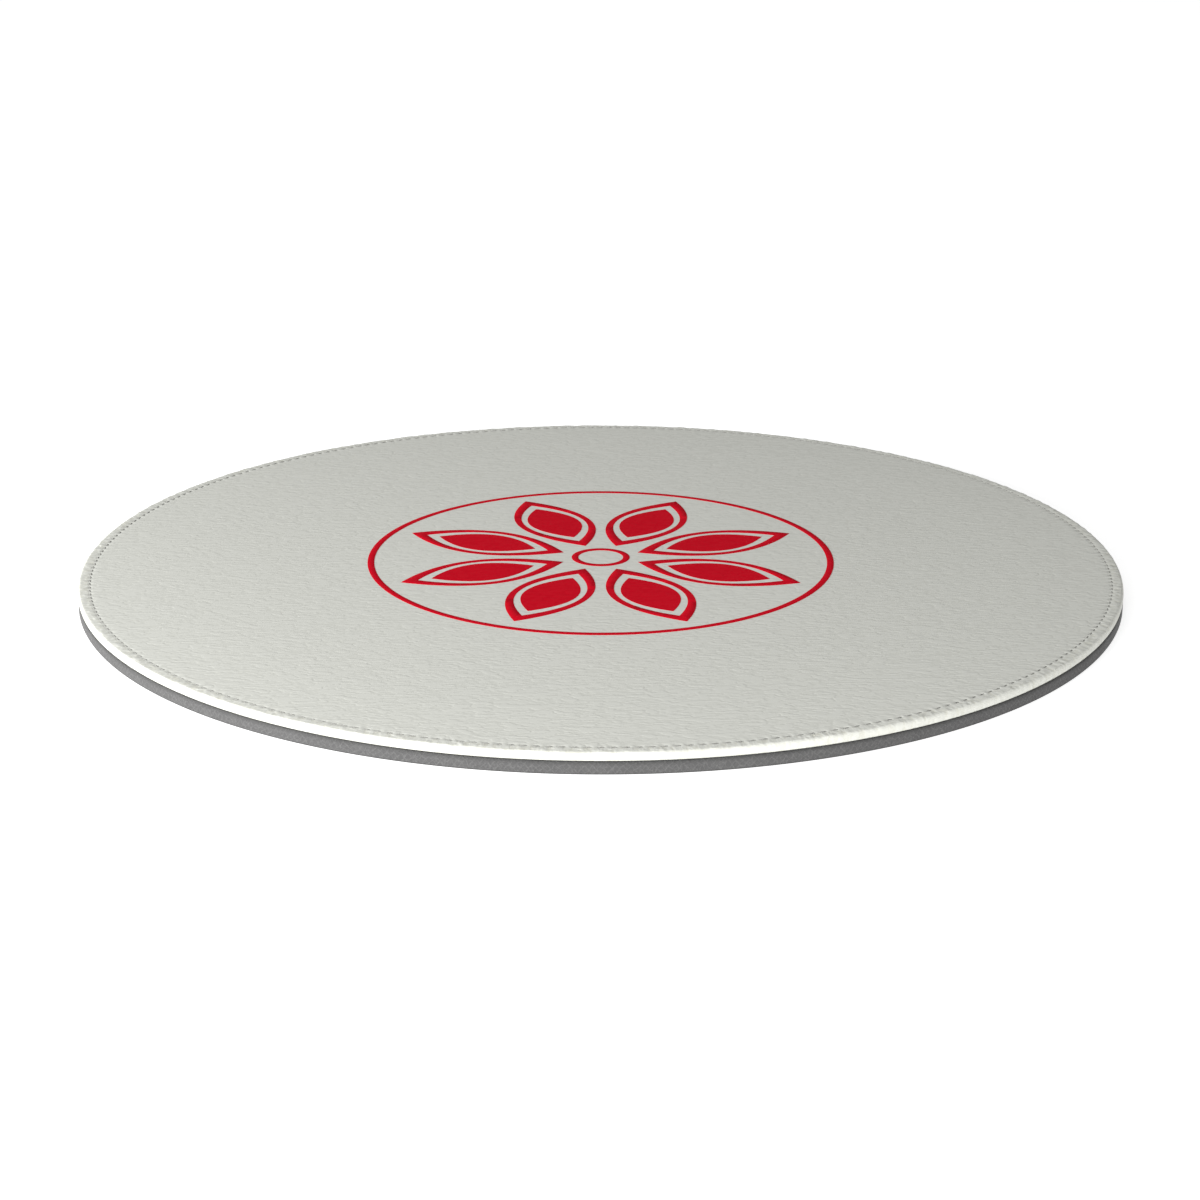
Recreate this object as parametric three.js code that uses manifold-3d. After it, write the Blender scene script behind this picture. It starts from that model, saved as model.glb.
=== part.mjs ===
import * as THREE from 'three';
import { mergeGeometries, mergeVertices } from 'three/addons/utils/BufferGeometryUtils.js';
import Module from 'manifold-3d';

// A round, leather-faced mouse pad with a sewn border. Lengths are in millimetres and +Z is up.
// The pad lies on z = 0 with its centre on the Z axis, and -Y is the side nearest its user.

// Driving dimensions of the layers, from the table up
const padDiameter = 230;
const matThickness = 2.5;
const bondThickness = 0.1;
const leatherThickness = 1;
const boardThickness = 0.5;

// The turned edge of the leather
const hemWidth = 12; // how far the turned-under leather reaches in from the rim
const coreClearance = 0.3; // between the hem's inner edge and what fills the well inside it
const rollHeight = 0.9; // height of the rim's rounded shoulder
const rollRun = 0.6; // how far the shoulder reaches in from the rim
const hemCornerRadius = 0.35;

// The valley that the stitches lie in, and the bead between it and the rim
const seamInset = 2.55; // from the rim to the line of stitches
const seamDepth = 0.3;
const seamFloorMargin = 0.18; // of the valley's floor, on each side of the stitch holes
const seamSlopeRun = 1.1; // from the flat face down to the valley's floor
const beadRun = 0.4; // from the valley's floor up to the bead's crown
const beadDrop = 0.18; // how much lower the bead lies than the face

// Sewing
const stitchPitch = 2.364;
const stitchGap = 1.24; // from the end of one dash to the start of the next, along the seam
const stitchesPerFacet = 4;
const needleThreadDiameter = 0.45;
const bobbinThreadDiameter = 0.25;
const threadClearance = 0.05; // between a thread and whatever it lies on or passes
const dashSlant = 0.2; // how far a dash drifts across the seam from one end to the other
const loopWidth = 0.24; // along the seam, between the two legs of a loop where it turns
const loopClearance = 0.15; // between the bobbin thread and the legs that pass it
const channelRoofGap = 0.12; // over the bobbin thread, in the groove under the hem
const channelWallGap = 0.27; // beside the loops, for the mitre at their corners
const threadSides = 3;
const hiddenTurn = Math.PI / 3; // of the thread's section in each of a loop's three hidden runs

// The mat and its bond
const matShoulderRadius = 0.4; // at the parting line, where it leaves a dark crease
const matFootRadius = 0.15;
const bondInset = 0.8;

// The printed rosette
const filmThickness = 0.12;
const rosetteDiameter = 104;
const rosetteLine = 1.5; // width of the rings and of each petal's outline
const rosetteGap = 1.2; // between a petal's outline and the solid leaf inside it
const hubDiameter = 13;
const petalCount = 8;
const petalStart = 9; // from the centre of the pad
const petalEnd = 47;
const petalHalfWidth = 8.6;
const tipShare = 2.6; // how much wider a line or gap is at a petal's pointed ends than at its sides

// Smoothness
const ringFacetLength = 7;
const ringSegments = 24; // fewest round a printed ring
const petalSegments = 5;
const rollSteps = 4;
const cornerSteps = 1;
const overrun = 0.25; // how far a cutter runs past the face that it cuts
const weldDistance = 1e-4;

// Worked out from the values above
const padRadius = padDiameter / 2;
const hemZ = matThickness + bondThickness;
const faceUndersideZ = hemZ + leatherThickness;
const topZ = faceUndersideZ + leatherThickness;
const coreRadius = padRadius - hemWidth - coreClearance;
const seamRadius = padRadius - seamInset;
const seamFloorZ = topZ - seamDepth;
const beadZ = topZ - beadDrop;
const facetCount = Math.round(2 * Math.PI * seamRadius / (stitchPitch * stitchesPerFacet));
const stitchCount = facetCount * stitchesPerFacet;
const stitchAngle = 2 * Math.PI / stitchCount;

// The needle thread's path at one hole: down on the inner side, under the bobbin thread, up outside
const needleRadius = needleThreadDiameter / 2;
const bobbinRadius = bobbinThreadDiameter / 2;
const threadApothem = needleRadius * Math.cos(Math.PI / threadSides);
const dashZ = seamFloorZ + threadClearance + threadApothem;
const loopZ = hemZ + threadClearance + needleRadius;
const bobbinZ = loopZ + needleRadius + threadClearance + bobbinRadius;
const loopOffset = needleRadius + bobbinRadius + loopClearance;
const legTop = new THREE.Vector3(stitchGap / 2, dashSlant / 2, dashZ);
const legFoot = new THREE.Vector3(loopWidth / 2, loopOffset, loopZ);
const channelHalfWidth = loopOffset + needleRadius + channelWallGap;
const channelRoofZ = bobbinZ + bobbinRadius + channelRoofGap;
const seamFloorHalfWidth = dashSlant / 2 + needleRadius + threadClearance + seamFloorMargin;

const wasm = await Module();
wasm.setup();

const leather = new THREE.MeshStandardMaterial({ color: 0xd3d4cd, roughness: 0.55 });
const needleYarn = new THREE.MeshStandardMaterial({ color: 0x8b8a88, roughness: 0.8 });
const bobbinYarn = new THREE.MeshStandardMaterial({ color: 0x77757a, roughness: 0.8 });
const foam = new THREE.MeshStandardMaterial({ color: 0x2b2b2e, roughness: 0.95 });
const fibreBoard = new THREE.MeshStandardMaterial({ color: 0x9a8468, roughness: 0.9 });
const adhesive = new THREE.MeshStandardMaterial({ color: 0xd8d2b4, roughness: 0.3 });
const matRubber = new THREE.MeshStandardMaterial({ color: 0x5b5b5e, roughness: 0.85 });
const redFilm = new THREE.MeshStandardMaterial({ color: 0xc80019, roughness: 0.45 });

// Points of an elliptical arc in a profile of [radius, height] pairs
function arc(centreR, centreZ, halfR, halfZ, startDegrees, endDegrees, steps) {
  const points = [];
  for (let step = 0; step <= steps; step += 1) {
    const angle = THREE.MathUtils.degToRad(THREE.MathUtils.lerp(startDegrees, endDegrees, step / steps));
    points.push([centreR + halfR * Math.cos(angle), centreZ + halfZ * Math.sin(angle)]);
  }
  return points;
}

// Turns a profile of [radius, height] pairs about the Z axis
function revolve(profile, segments) {
  const points = profile.map(([radius, height]) => new THREE.Vector2(radius, height)).reverse();
  return new THREE.LatheGeometry(points, segments).rotateX(Math.PI / 2);
}

// Joins rings of points into one skin: closed on itself, or with a flat cap at each end
function skin(rings, closed) {
  const sides = rings[0].length;
  const index = [];
  const spans = closed ? rings.length : rings.length - 1;
  for (let ring = 0; ring < spans; ring += 1) {
    const here = ring * sides;
    const next = ((ring + 1) % rings.length) * sides;
    for (let side = 0; side < sides; side += 1) {
      const after = (side + 1) % sides;
      index.push(here + side, here + after, next + after);
      index.push(here + side, next + after, next + side);
    }
  }
  if (!closed) {
    const last = (rings.length - 1) * sides;
    for (let side = 1; side < sides - 1; side += 1) {
      index.push(0, side + 1, side);
      index.push(last, last + side, last + side + 1);
    }
  }
  const positions = rings.flat().flatMap((point) => point.toArray());
  const geometry = new THREE.BufferGeometry();
  geometry.setAttribute('position', new THREE.Float32BufferAttribute(positions, 3));
  geometry.setIndex(index);
  return geometry;
}

// A closed geometry as a solid that can be cut, without the flat triangles at a lathe's poles
function toSolid(geometry) {
  const bare = geometry.clone();
  bare.deleteAttribute('normal');
  bare.deleteAttribute('uv');
  const merged = mergeVertices(bare, weldDistance);
  const corners = merged.index.array;
  const triVerts = [];
  for (let first = 0; first < corners.length; first += 3) {
    const [a, b, c] = corners.slice(first, first + 3);
    if (a !== b && b !== c && c !== a) triVerts.push(a, b, c);
  }
  return new wasm.Manifold(new wasm.Mesh({
    numProp: 3,
    vertProperties: merged.attributes.position.array,
    triVerts: new Uint32Array(triVerts),
  }));
}

function toGeometry(solid) {
  const mesh = solid.getMesh();
  const geometry = new THREE.BufferGeometry();
  geometry.setAttribute('position', new THREE.BufferAttribute(mesh.vertProperties, mesh.numProp));
  geometry.setIndex(new THREE.BufferAttribute(mesh.triVerts, 1));
  return geometry;
}

// A point of the seam: along it and across it from a stitch hole, at a height
function seamPoint(stitch, along, across, height) {
  const angle = (stitch + 0.5) * stitchAngle;
  const outward = new THREE.Vector3(Math.sin(angle), -Math.cos(angle), 0);
  const forward = new THREE.Vector3(Math.cos(angle), Math.sin(angle), 0);
  return new THREE.Vector3(0, 0, height)
    .addScaledVector(outward, seamRadius + across)
    .addScaledVector(forward, along);
}

// Half sizes, along and across the seam, of the space that the two legs of a loop need at a height
function legReach(height) {
  const share = (height - legFoot.z) / (legTop.z - legFoot.z);
  const centre = new THREE.Vector3().lerpVectors(legFoot, legTop, share);
  const wall = needleRadius + threadClearance;
  return [centre.x + wall, centre.y + wall];
}

// A stitch hole, drawn in by the thread: long along the seam at the top, squarer at the channel
function stitchHole(stitch) {
  const rings = [channelRoofZ - overrun, seamFloorZ + overrun].map((height) => {
    const [along, across] = legReach(height);
    return [[-1, -1], [-1, 1], [1, 1], [1, -1]].map(([signAlong, signAcross]) => (
      seamPoint(stitch, signAlong * along, signAcross * across, height)
    ));
  });
  return skin(rings, false);
}

// The leather's section: flat face, valley, flat bead, rolled shoulder, wall, hem with its channel
function leatherProfile() {
  const crownRadius = seamRadius + seamFloorHalfWidth + beadRun;
  const hemInnerRadius = padRadius - hemWidth;
  return [
    [0, topZ],
    [seamRadius - seamFloorHalfWidth - seamSlopeRun, topZ],
    [seamRadius - seamFloorHalfWidth, seamFloorZ],
    ...arc(crownRadius, seamFloorZ, beadRun, beadZ - seamFloorZ, 180, 90, cornerSteps),
    ...arc(padRadius - rollRun, beadZ - rollHeight, rollRun, rollHeight, 90, 0, rollSteps),
    ...arc(padRadius - hemCornerRadius, hemZ + hemCornerRadius, hemCornerRadius, hemCornerRadius,
      0, -90, cornerSteps),
    [seamRadius + channelHalfWidth, hemZ],
    [seamRadius + channelHalfWidth, channelRoofZ],
    [seamRadius - channelHalfWidth, channelRoofZ],
    [seamRadius - channelHalfWidth, hemZ],
    [hemInnerRadius, hemZ],
    [hemInnerRadius, faceUndersideZ],
    [0, faceUndersideZ],
  ];
}

function leatherCover() {
  const holes = [];
  for (let stitch = 0; stitch < stitchCount; stitch += 1) holes.push(stitchHole(stitch));
  const turned = toSolid(revolve(leatherProfile(), facetCount));
  return toGeometry(turned.subtract(toSolid(mergeGeometries(holes))));
}

// Section of the needle thread where two straight runs meet, cut on the plane that halves the bend.
// Corners are measured from `up`, square to the run that shapes the section.
function mitredSection(before, corner, after, run, up, turn) {
  const arriving = new THREE.Vector3().subVectors(corner, before).normalize();
  const leaving = new THREE.Vector3().subVectors(after, corner).normalize();
  const planeNormal = new THREE.Vector3().addVectors(arriving, leaving);
  const side = new THREE.Vector3().crossVectors(run, up).normalize();
  const trueUp = new THREE.Vector3().crossVectors(side, run).normalize();
  const ring = [];
  for (let index = 0; index < threadSides; index += 1) {
    const angle = turn + 2 * Math.PI * index / threadSides;
    const offset = trueUp.clone().multiplyScalar(needleRadius * Math.cos(angle));
    offset.addScaledVector(side, needleRadius * Math.sin(angle));
    offset.addScaledVector(run, -offset.dot(planeNormal) / run.dot(planeNormal));
    ring.push(offset.add(corner));
  }
  return ring;
}

// One stitch of the needle thread: the end of a dash, the loop under the bobbin thread, and the
// start of the next dash. A loop turns the thread's section round by half, a third in each run.
function needleStitch(stitch) {
  const dashBefore = seamPoint(stitch - 1, legTop.x, legTop.y, legTop.z);
  const dashEnd = seamPoint(stitch, -legTop.x, -legTop.y, legTop.z);
  const loopIn = seamPoint(stitch, -legFoot.x, -legFoot.y, legFoot.z);
  const loopOut = seamPoint(stitch, legFoot.x, legFoot.y, legFoot.z);
  const dashStart = seamPoint(stitch, legTop.x, legTop.y, legTop.z);
  const dashAfter = seamPoint(stitch + 1, -legTop.x, -legTop.y, legTop.z);
  const up = new THREE.Vector3(0, 0, 1);
  const forward = new THREE.Vector3().subVectors(dashStart, dashEnd).setZ(0);
  const lastRun = new THREE.Vector3().subVectors(dashEnd, dashBefore).normalize();
  const crossing = new THREE.Vector3().subVectors(loopOut, loopIn).normalize();
  const nextRun = new THREE.Vector3().subVectors(dashAfter, dashStart).normalize();
  return [
    mitredSection(dashBefore, dashEnd, loopIn, lastRun, up, 0),
    mitredSection(dashEnd, loopIn, loopOut, crossing, forward, hiddenTurn),
    mitredSection(loopIn, loopOut, dashStart, crossing, forward, 2 * hiddenTurn),
    mitredSection(loopOut, dashStart, dashAfter, nextRun, up, 0),
  ];
}

function needleThread() {
  const rings = [];
  for (let stitch = 0; stitch < stitchCount; stitch += 1) rings.push(...needleStitch(stitch));
  return skin(rings, true);
}

// The bobbin thread lies straight in the channel, held up by the loops that pass under it
function bobbinThread() {
  const section = arc(seamRadius, bobbinZ, bobbinRadius, bobbinRadius, 90, -270, threadSides);
  return revolve(section, stitchCount / 2);
}

function disc(radius, bottomZ, upperZ) {
  return revolve([[0, upperZ], [radius, upperZ], [radius, bottomZ], [0, bottomZ]], facetCount);
}

function baseMat() {
  const shoulderR = padRadius - matShoulderRadius;
  const footR = padRadius - matFootRadius;
  return revolve([
    [0, matThickness],
    ...arc(shoulderR, matThickness - matShoulderRadius, matShoulderRadius, matShoulderRadius,
      90, 0, cornerSteps),
    ...arc(footR, matFootRadius, matFootRadius, matFootRadius, 0, -90, cornerSteps),
    [0, 0],
  ], facetCount);
}

function filmRing(diameter) {
  const outer = diameter / 2;
  const inner = outer - rosetteLine;
  const upperZ = topZ + filmThickness;
  const section = [[outer, upperZ], [outer, topZ], [inner, topZ], [inner, upperZ], [outer, upperZ]];
  return revolve(section, Math.max(ringSegments, Math.round(Math.PI * diameter / ringFacetLength)));
}

// A pointed leaf along X with one curve on each side, drawn inside the petal's edge by an inset
function leaf(path, inset) {
  const start = petalStart + inset * tipShare;
  const end = petalEnd - inset * tipShare;
  const middle = (start + end) / 2;
  const bow = 2 * (petalHalfWidth - inset);
  path.moveTo(start, 0);
  path.quadraticCurveTo(middle, -bow, end, 0);
  path.quadraticCurveTo(middle, bow, start, 0);
  return path;
}

function filmFrom(shape) {
  return new THREE.ExtrudeGeometry(shape, {
    depth: filmThickness, bevelEnabled: false, curveSegments: petalSegments,
  });
}

function filmPetal() {
  const outline = leaf(new THREE.Shape(), 0);
  outline.holes.push(leaf(new THREE.Path(), rosetteLine));
  return filmFrom(outline);
}

function filmPetalCore() {
  return filmFrom(leaf(new THREE.Shape(), rosetteLine + rosetteGap));
}

const pad = new THREE.Group();

function addPiece(name, geometry, material) {
  const mesh = new THREE.Mesh(geometry, material);
  mesh.name = name;
  pad.add(mesh);
  return mesh;
}

addPiece('base_mat', baseMat(), matRubber);
addPiece('bonding_film', disc(padRadius - bondInset, matThickness, hemZ), adhesive);
addPiece('stiffener_board', disc(coreRadius, hemZ, hemZ + boardThickness), fibreBoard);
addPiece('foam_pad', disc(coreRadius, hemZ + boardThickness, faceUndersideZ), foam);
addPiece('leather_cover', leatherCover(), leather);
addPiece('bobbin_thread', bobbinThread(), bobbinYarn);
addPiece('needle_thread', needleThread(), needleYarn);
addPiece('print_outer_ring', filmRing(rosetteDiameter), redFilm);
addPiece('print_hub_ring', filmRing(hubDiameter), redFilm);

for (let number = 1; number <= petalCount; number += 1) {
  const pieces = [
    addPiece(`print_petal_${number}`, filmPetal(), redFilm),
    addPiece(`print_petal_core_${number}`, filmPetalCore(), redFilm),
  ];
  for (const piece of pieces) {
    piece.rotation.z = 2 * Math.PI * (number - 0.5) / petalCount;
    piece.position.z = topZ;
  }
}

export default pad;
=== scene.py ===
import math

import bmesh
import bpy
from mathutils import Matrix, Quaternion, Vector


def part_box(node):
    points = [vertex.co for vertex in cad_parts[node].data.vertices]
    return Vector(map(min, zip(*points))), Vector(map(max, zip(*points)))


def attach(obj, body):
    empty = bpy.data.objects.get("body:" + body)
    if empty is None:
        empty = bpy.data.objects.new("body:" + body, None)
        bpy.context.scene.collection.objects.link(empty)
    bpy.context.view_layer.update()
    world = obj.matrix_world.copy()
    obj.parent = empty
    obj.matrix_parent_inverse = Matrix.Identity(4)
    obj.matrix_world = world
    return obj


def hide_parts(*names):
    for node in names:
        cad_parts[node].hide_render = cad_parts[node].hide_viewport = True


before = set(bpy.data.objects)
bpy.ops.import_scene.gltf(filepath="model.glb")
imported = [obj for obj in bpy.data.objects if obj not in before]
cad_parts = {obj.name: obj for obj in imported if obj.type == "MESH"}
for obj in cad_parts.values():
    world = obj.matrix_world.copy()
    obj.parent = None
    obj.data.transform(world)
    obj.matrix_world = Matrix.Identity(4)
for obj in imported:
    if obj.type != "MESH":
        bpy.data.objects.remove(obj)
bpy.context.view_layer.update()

mm = 0.001  # the frame is in metres
print("frame loaded:", len(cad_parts), "nodes")

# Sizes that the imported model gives
coverLow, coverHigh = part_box("leather_cover")
foamLow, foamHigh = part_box("foam_pad")
bobbinLow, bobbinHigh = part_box("bobbin_thread")
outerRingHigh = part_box("print_outer_ring")[1]
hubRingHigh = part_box("print_hub_ring")[1]
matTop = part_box("base_mat")[1].z
padRadius = -coverLow.y
topZ = coverHigh.z
hemZ = coverLow.z
bobbinReach = [vertex.co.xy.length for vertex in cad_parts["bobbin_thread"].data.vertices]
seamRadius = (min(bobbinReach) + max(bobbinReach)) / 2
bobbinZ = (bobbinLow.z + bobbinHigh.z) / 2

# Points nearer than this become one, where a turned piece closes and where repeated pieces meet
closingReach = 0.0005 * mm
meetingReach = 0.002 * mm


# Node helpers

def feed(tree, value, socket):
    if isinstance(value, bpy.types.NodeSocket):
        tree.links.new(value, socket)
    else:
        socket.default_value = value


def addNode(tree, kind, settings=None, **inputs):
    node = tree.nodes.new(kind)
    for setting, value in (settings or {}).items():
        setattr(node, setting, value)
    for label, value in inputs.items():
        feed(tree, value, node.inputs[label.replace("_", " ")])
    return node


def calc(tree, operation, *values):
    node = addNode(tree, "ShaderNodeMath", {"operation": operation})
    for place, value in enumerate(values):
        feed(tree, value, node.inputs[place])
    return node.outputs[0]


def vectorCalc(tree, operation, *values):
    node = addNode(tree, "ShaderNodeVectorMath", {"operation": operation})
    for place, value in enumerate(values):
        feed(tree, value, node.inputs[place])
    return node.outputs["Value" if operation == "LENGTH" else "Vector"]


def product(tree, *values):
    total = values[0]
    for value in values[1:]:
        total = calc(tree, "MULTIPLY", total, value)
    return total


def negative(tree, value):
    return calc(tree, "MULTIPLY", value, -1)


# 0 to 1 between two values, eased at both; it falls where the first is the larger
def ease(tree, value, first, last):
    node = addNode(tree, "ShaderNodeMapRange", {"interpolation_type": "SMOOTHSTEP"},
                   Value=value, From_Min=first, From_Max=last)
    return node.outputs["Result"]


def noise(tree, vector, perMetre, detail, **inputs):
    node = addNode(tree, "ShaderNodeTexNoise", Vector=vector, Scale=perMetre, Detail=detail, **inputs)
    return node.outputs[0]


def newTree(name, kind, inputs, outputs):
    tree = bpy.data.node_groups.new(name, kind)
    for label, socketType, value in inputs:
        socket = tree.interface.new_socket(name=label, in_out="INPUT", socket_type=socketType)
        if value is not None:
            socket.default_value = value
    for label, socketType in outputs:
        tree.interface.new_socket(name=label, in_out="OUTPUT", socket_type=socketType)
    return tree, tree.nodes.new("NodeGroupInput").outputs, tree.nodes.new("NodeGroupOutput").inputs


# Mesh helpers

def addObject(name, mesh):
    piece = bpy.data.objects.new(name, mesh)
    bpy.context.scene.collection.objects.link(piece)
    return piece


def meshFrom(name, points, faces):
    mesh = bpy.data.meshes.new(name)
    mesh.from_pydata(points, [], faces)
    mesh.update()
    return mesh


def faceOutwards(mesh):
    shell = bmesh.new()
    shell.from_mesh(mesh)
    if shell.calc_volume(signed=True) < 0:
        bmesh.ops.reverse_faces(shell, faces=shell.faces)
    shell.to_mesh(mesh)
    shell.free()


def finishMesh(mesh, sharpAngle):
    faceOutwards(mesh)
    mesh.shade_smooth()
    mesh.set_sharp_from_angle(angle=math.radians(sharpAngle))


# Runs a tree over a mesh and keeps the result as the piece's own plain mesh
def grow(name, mesh, tree, values, material, sharpAngle=40):
    piece = addObject(name, mesh)
    modifier = piece.modifiers.new(tree.name, "NODES")
    modifier.node_group = tree
    sockets = {item.name: item.identifier for item in tree.interface.items_tree if item.in_out == "INPUT"}
    for label, value in values.items():
        modifier[sockets[label]] = value
    modifier[sockets["Material"]] = material
    graph = bpy.context.evaluated_depsgraph_get()
    grown = bpy.data.meshes.new_from_object(piece.evaluated_get(graph), preserve_all_data_layers=True,
                                            depsgraph=graph)
    piece.modifiers.remove(modifier)
    piece.data = grown
    grown.name = name
    bpy.data.meshes.remove(mesh)
    finishMesh(grown, sharpAngle)
    grown.calc_loop_triangles()
    print(name, "has", len(grown.loop_triangles), "triangles")
    return piece


# A section to be turned round the pad's axis: points of [distance from the axis, height]
def sectionMesh(name, section, closed):
    edges = [(place, place + 1) for place in range(len(section) - 1)]
    if closed:
        edges.append((len(section) - 1, 0))
    mesh = bpy.data.meshes.new(name)
    mesh.from_pydata([(reach, 0, height) for reach, height in section], edges, [])
    return mesh


def arc(centreR, centreZ, halfR, halfZ, start, end, steps):
    turns = [math.radians(start + (end - start) * step / steps) for step in range(steps + 1)]
    return [(centreR + halfR * math.cos(turn), centreZ + halfZ * math.sin(turn)) for turn in turns]


# Turns a section round the pad's axis; the rule may move a point by where it is round and across
def turningTree(name, inputs, rule):
    tree, given, result = newTree(name, "GeometryNodeTree", [
        ("Section", "NodeSocketGeometry", None),
        ("Segments", "NodeSocketInt", 360),
        ("Material", "NodeSocketMaterial", None),
        *[(label, "NodeSocketFloat", value) for label, value in inputs],
    ], [("Geometry", "NodeSocketGeometry")])
    position = addNode(tree, "GeometryNodeInputPosition").outputs[0]
    place = addNode(tree, "ShaderNodeSeparateXYZ", Vector=position).outputs

    def store(geometry, label, value):
        node = addNode(tree, "GeometryNodeStoreNamedAttribute", {"data_type": "FLOAT", "domain": "POINT"},
                       Geometry=geometry, Name=label)
        feed(tree, value, node.inputs["Value"])
        return node.outputs["Geometry"]

    def stored(label):
        return addNode(tree, "GeometryNodeInputNamedAttribute", {"data_type": "FLOAT"}, Name=label).outputs[0]

    section = store(given["Section"], "reach", place["X"])
    section = store(section, "height", place["Z"])
    section = addNode(tree, "GeometryNodeMeshToCurve", Mesh=section).outputs[0]
    circle = addNode(tree, "GeometryNodeCurvePrimitiveCircle", Resolution=given["Segments"]).outputs[0]
    index = addNode(tree, "GeometryNodeInputIndex").outputs[0]
    share = calc(tree, "DIVIDE", index, given["Segments"])
    circle = store(circle, "turn", product(tree, share, math.tau))
    swept = addNode(tree, "GeometryNodeCurveToMesh", Curve=circle, Profile_Curve=section).outputs[0]
    turn = stored("turn")
    reach, height = rule(tree, given, stored("reach"), stored("height"), turn)
    moved = addNode(tree, "ShaderNodeCombineXYZ", Z=height,
                    X=product(tree, reach, calc(tree, "SINE", turn)),
                    Y=product(tree, calc(tree, "COSINE", turn), negative(tree, reach)))
    placed = addNode(tree, "GeometryNodeSetPosition", Geometry=swept, Position=moved.outputs[0]).outputs[0]
    closed = addNode(tree, "GeometryNodeMergeByDistance", Geometry=placed, Distance=closingReach).outputs[0]
    real = addNode(tree, "GeometryNodeRealizeInstances", Geometry=closed).outputs[0]
    finished = addNode(tree, "GeometryNodeSetMaterial", Geometry=real, Material=given["Material"])
    tree.links.new(finished.outputs[0], result["Geometry"])
    return tree


# Camera, light and floor

studio = {
    "lens": 78.2,
    "sensorWidth": 36,
    "cameraPlace": (-0.00014, -0.5550, 0.18385),
    "cameraTilt": 71.16,
    "cameraRoll": 0.07,
    "worldColour": (1.0, 1.0, 1.0, 1),
    "worldStrength": 0.464,
    "keyPlace": (-0.365, -0.315, 0.144),
    "keySize": (4.0, 0.12),
    "keyPower": 20.4,
    "floorSize": 12,
    "floorColour": (0.8, 0.8, 0.8, 1),
    "floorGlow": 0.6,
}


def aimAt(piece, place, target):
    piece.location = place
    piece.rotation_euler = (Vector(target) - Vector(place)).to_track_quat("-Z", "Y").to_euler()


camera = addObject("camera", bpy.data.cameras.new("camera"))
camera.data.lens = studio["lens"]
camera.data.sensor_width = studio["sensorWidth"]
camera.location = studio["cameraPlace"]
cameraTurn = Matrix.Rotation(math.radians(studio["cameraTilt"]), 3, "X")
cameraTurn @= Matrix.Rotation(math.radians(studio["cameraRoll"]), 3, "Z")
camera.rotation_euler = cameraTurn.to_euler()
bpy.context.scene.camera = camera
bpy.context.scene.view_settings.view_transform = "Standard"

world = bpy.data.worlds.new("studio")
world.use_nodes = True
world.node_tree.nodes["Background"].inputs["Color"].default_value = studio["worldColour"]
world.node_tree.nodes["Background"].inputs["Strength"].default_value = studio["worldStrength"]
bpy.context.scene.world = world

keyLight = bpy.data.lights.new("keyLight", "AREA")
keyLight.shape = "RECTANGLE"
keyLight.size, keyLight.size_y = studio["keySize"]
keyLight.energy = studio["keyPower"]
keyLamp = addObject("keyLight", keyLight)
aimAt(keyLamp, studio["keyPlace"], (0, 0, 0))
keyLamp.visible_camera = False

floorHalf = studio["floorSize"] / 2
floorCorners = [(x * floorHalf, y * floorHalf, 0) for x, y in ((-1, -1), (1, -1), (1, 1), (-1, 1))]
floor = addObject("floor", meshFrom("floor", floorCorners, [(0, 1, 2, 3)]))
floorPaint = bpy.data.materials.new("floorPaint")
floorPaint.use_nodes = True
floorShader = floorPaint.node_tree.nodes["Principled BSDF"]
floorShader.inputs["Base Color"].default_value = studio["floorColour"]
floorShader.inputs["Roughness"].default_value = 1
floorShader.inputs["Specular IOR Level"].default_value = 0
floorShader.inputs["Emission Color"].default_value = (1, 1, 1, 1)
floorShader.inputs["Emission Strength"].default_value = studio["floorGlow"]
floor.data.materials.append(floorPaint)
print("camera, light and floor set")


# Shared surface effects

def newMaterial(name, **constants):
    material = bpy.data.materials.new(name)
    material.use_nodes = True
    tree = material.node_tree
    shader = tree.nodes["Principled BSDF"]
    for label, value in constants.items():
        shader.inputs[label.replace("_", " ")].default_value = value
    spot = addNode(tree, "ShaderNodeTexCoord").outputs["Object"]
    return material, tree, shader, spot


def useGroup(tree, group, **inputs):
    return addNode(tree, "ShaderNodeGroup", {"node_tree": group}, **inputs).outputs


def mixColour(tree, share, first, second):
    node = addNode(tree, "ShaderNodeMix", {"data_type": "RGBA"})
    feed(tree, share, node.inputs[0])
    feed(tree, first, node.inputs[6])
    feed(tree, second, node.inputs[7])
    return node.outputs[2]


def addBump(tree, shader, height, distance, strength=1.0):
    bump = addNode(tree, "ShaderNodeBump", Height=height, Distance=distance, Strength=strength)
    tree.links.new(bump.outputs[0], shader.inputs["Normal"])


# Lays a look's colours over its base colour in turn, each where its mark is, by its own share
def colourBy(tree, shader, look, marks):
    base = look["colour"]
    for kind, mark in marks.items():
        base = mixColour(tree, product(tree, mark, look[kind + "Share"]), base, look[kind + "Colour"])
    tree.links.new(base, shader.inputs["Base Color"])


# One pattern gives both the blend of two colours and the bump
def patternBy(tree, shader, look, pattern):
    base = mixColour(tree, pattern, look["lowColour"], look["highColour"])
    tree.links.new(base, shader.inputs["Base Color"])
    addBump(tree, shader, pattern, look["bumpDepth"])


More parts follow.
